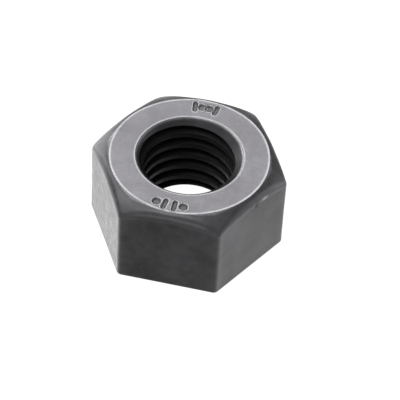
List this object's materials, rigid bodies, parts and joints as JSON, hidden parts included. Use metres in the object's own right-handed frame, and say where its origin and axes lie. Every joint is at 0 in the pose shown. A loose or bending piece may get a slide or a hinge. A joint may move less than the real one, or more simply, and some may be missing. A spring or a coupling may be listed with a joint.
{
  "type": "hex nut",
  "caption": "Heavy hex nut in blackened steel, with a coarse right-hand thread, one chamfered face with plain punch marks and a flat bearing face, to clamp on a bolt or stud.",
  "frame": {"origin": "on the thread's axis, in the plane of the underside that the nut rests on", "axes": "+Z along the thread towards the chamfered face; two opposite corners lie on X, and two opposite flats face -Y and +Y"},
  "size_m": [0.0302, 0.0264, 0.015],
  "materials": {
    "blackened_steel": "blackened carbon steel, satin, with a dark grey oxide that is worn brighter along the edges"
  },
  "bodies": {
    "root": {"hex_nut": "blackened_steel"}
  },
  "joints": []
}
